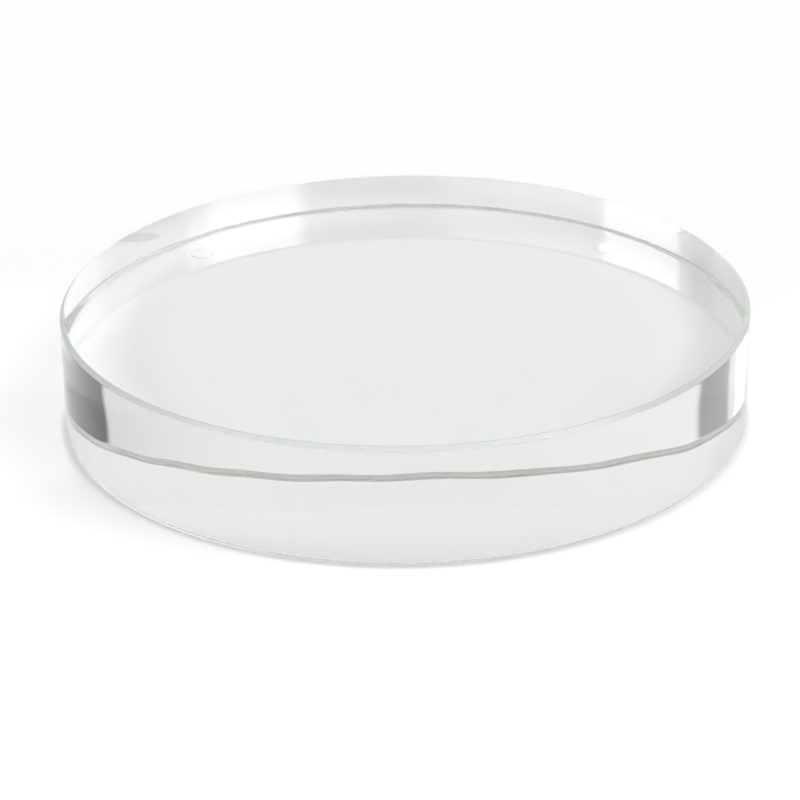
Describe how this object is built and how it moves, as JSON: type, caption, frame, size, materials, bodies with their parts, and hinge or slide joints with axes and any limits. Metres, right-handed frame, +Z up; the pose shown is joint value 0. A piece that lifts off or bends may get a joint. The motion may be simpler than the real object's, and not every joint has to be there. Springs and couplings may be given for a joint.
{
  "type": "vanity tray",
  "caption": "Thick round slab tray of polished clear glass with finely ground bevelled rims, standing on small clear pads.",
  "frame": {"origin": "on the slab's axis, in the plane of the pads' undersides, which is the surface that the tray stands on", "axes": "+Z up along the slab's axis, out of its top face; +X to the right and -Y to the front, though the slab is round and has no front of its own"},
  "size_m": [0.254, 0.254, 0.045],
  "materials": {
    "clear_glass": "polished, water clear, bevels finely ground and a pale green white",
    "clear_pad": "clear, smooth, soft"
  },
  "bodies": {
    "root": {"glass_slab": "clear_glass", "back_right_pad": "clear_pad", "back_left_pad": "clear_pad", "front_left_pad": "clear_pad", "front_right_pad": "clear_pad"}
  },
  "joints": []
}
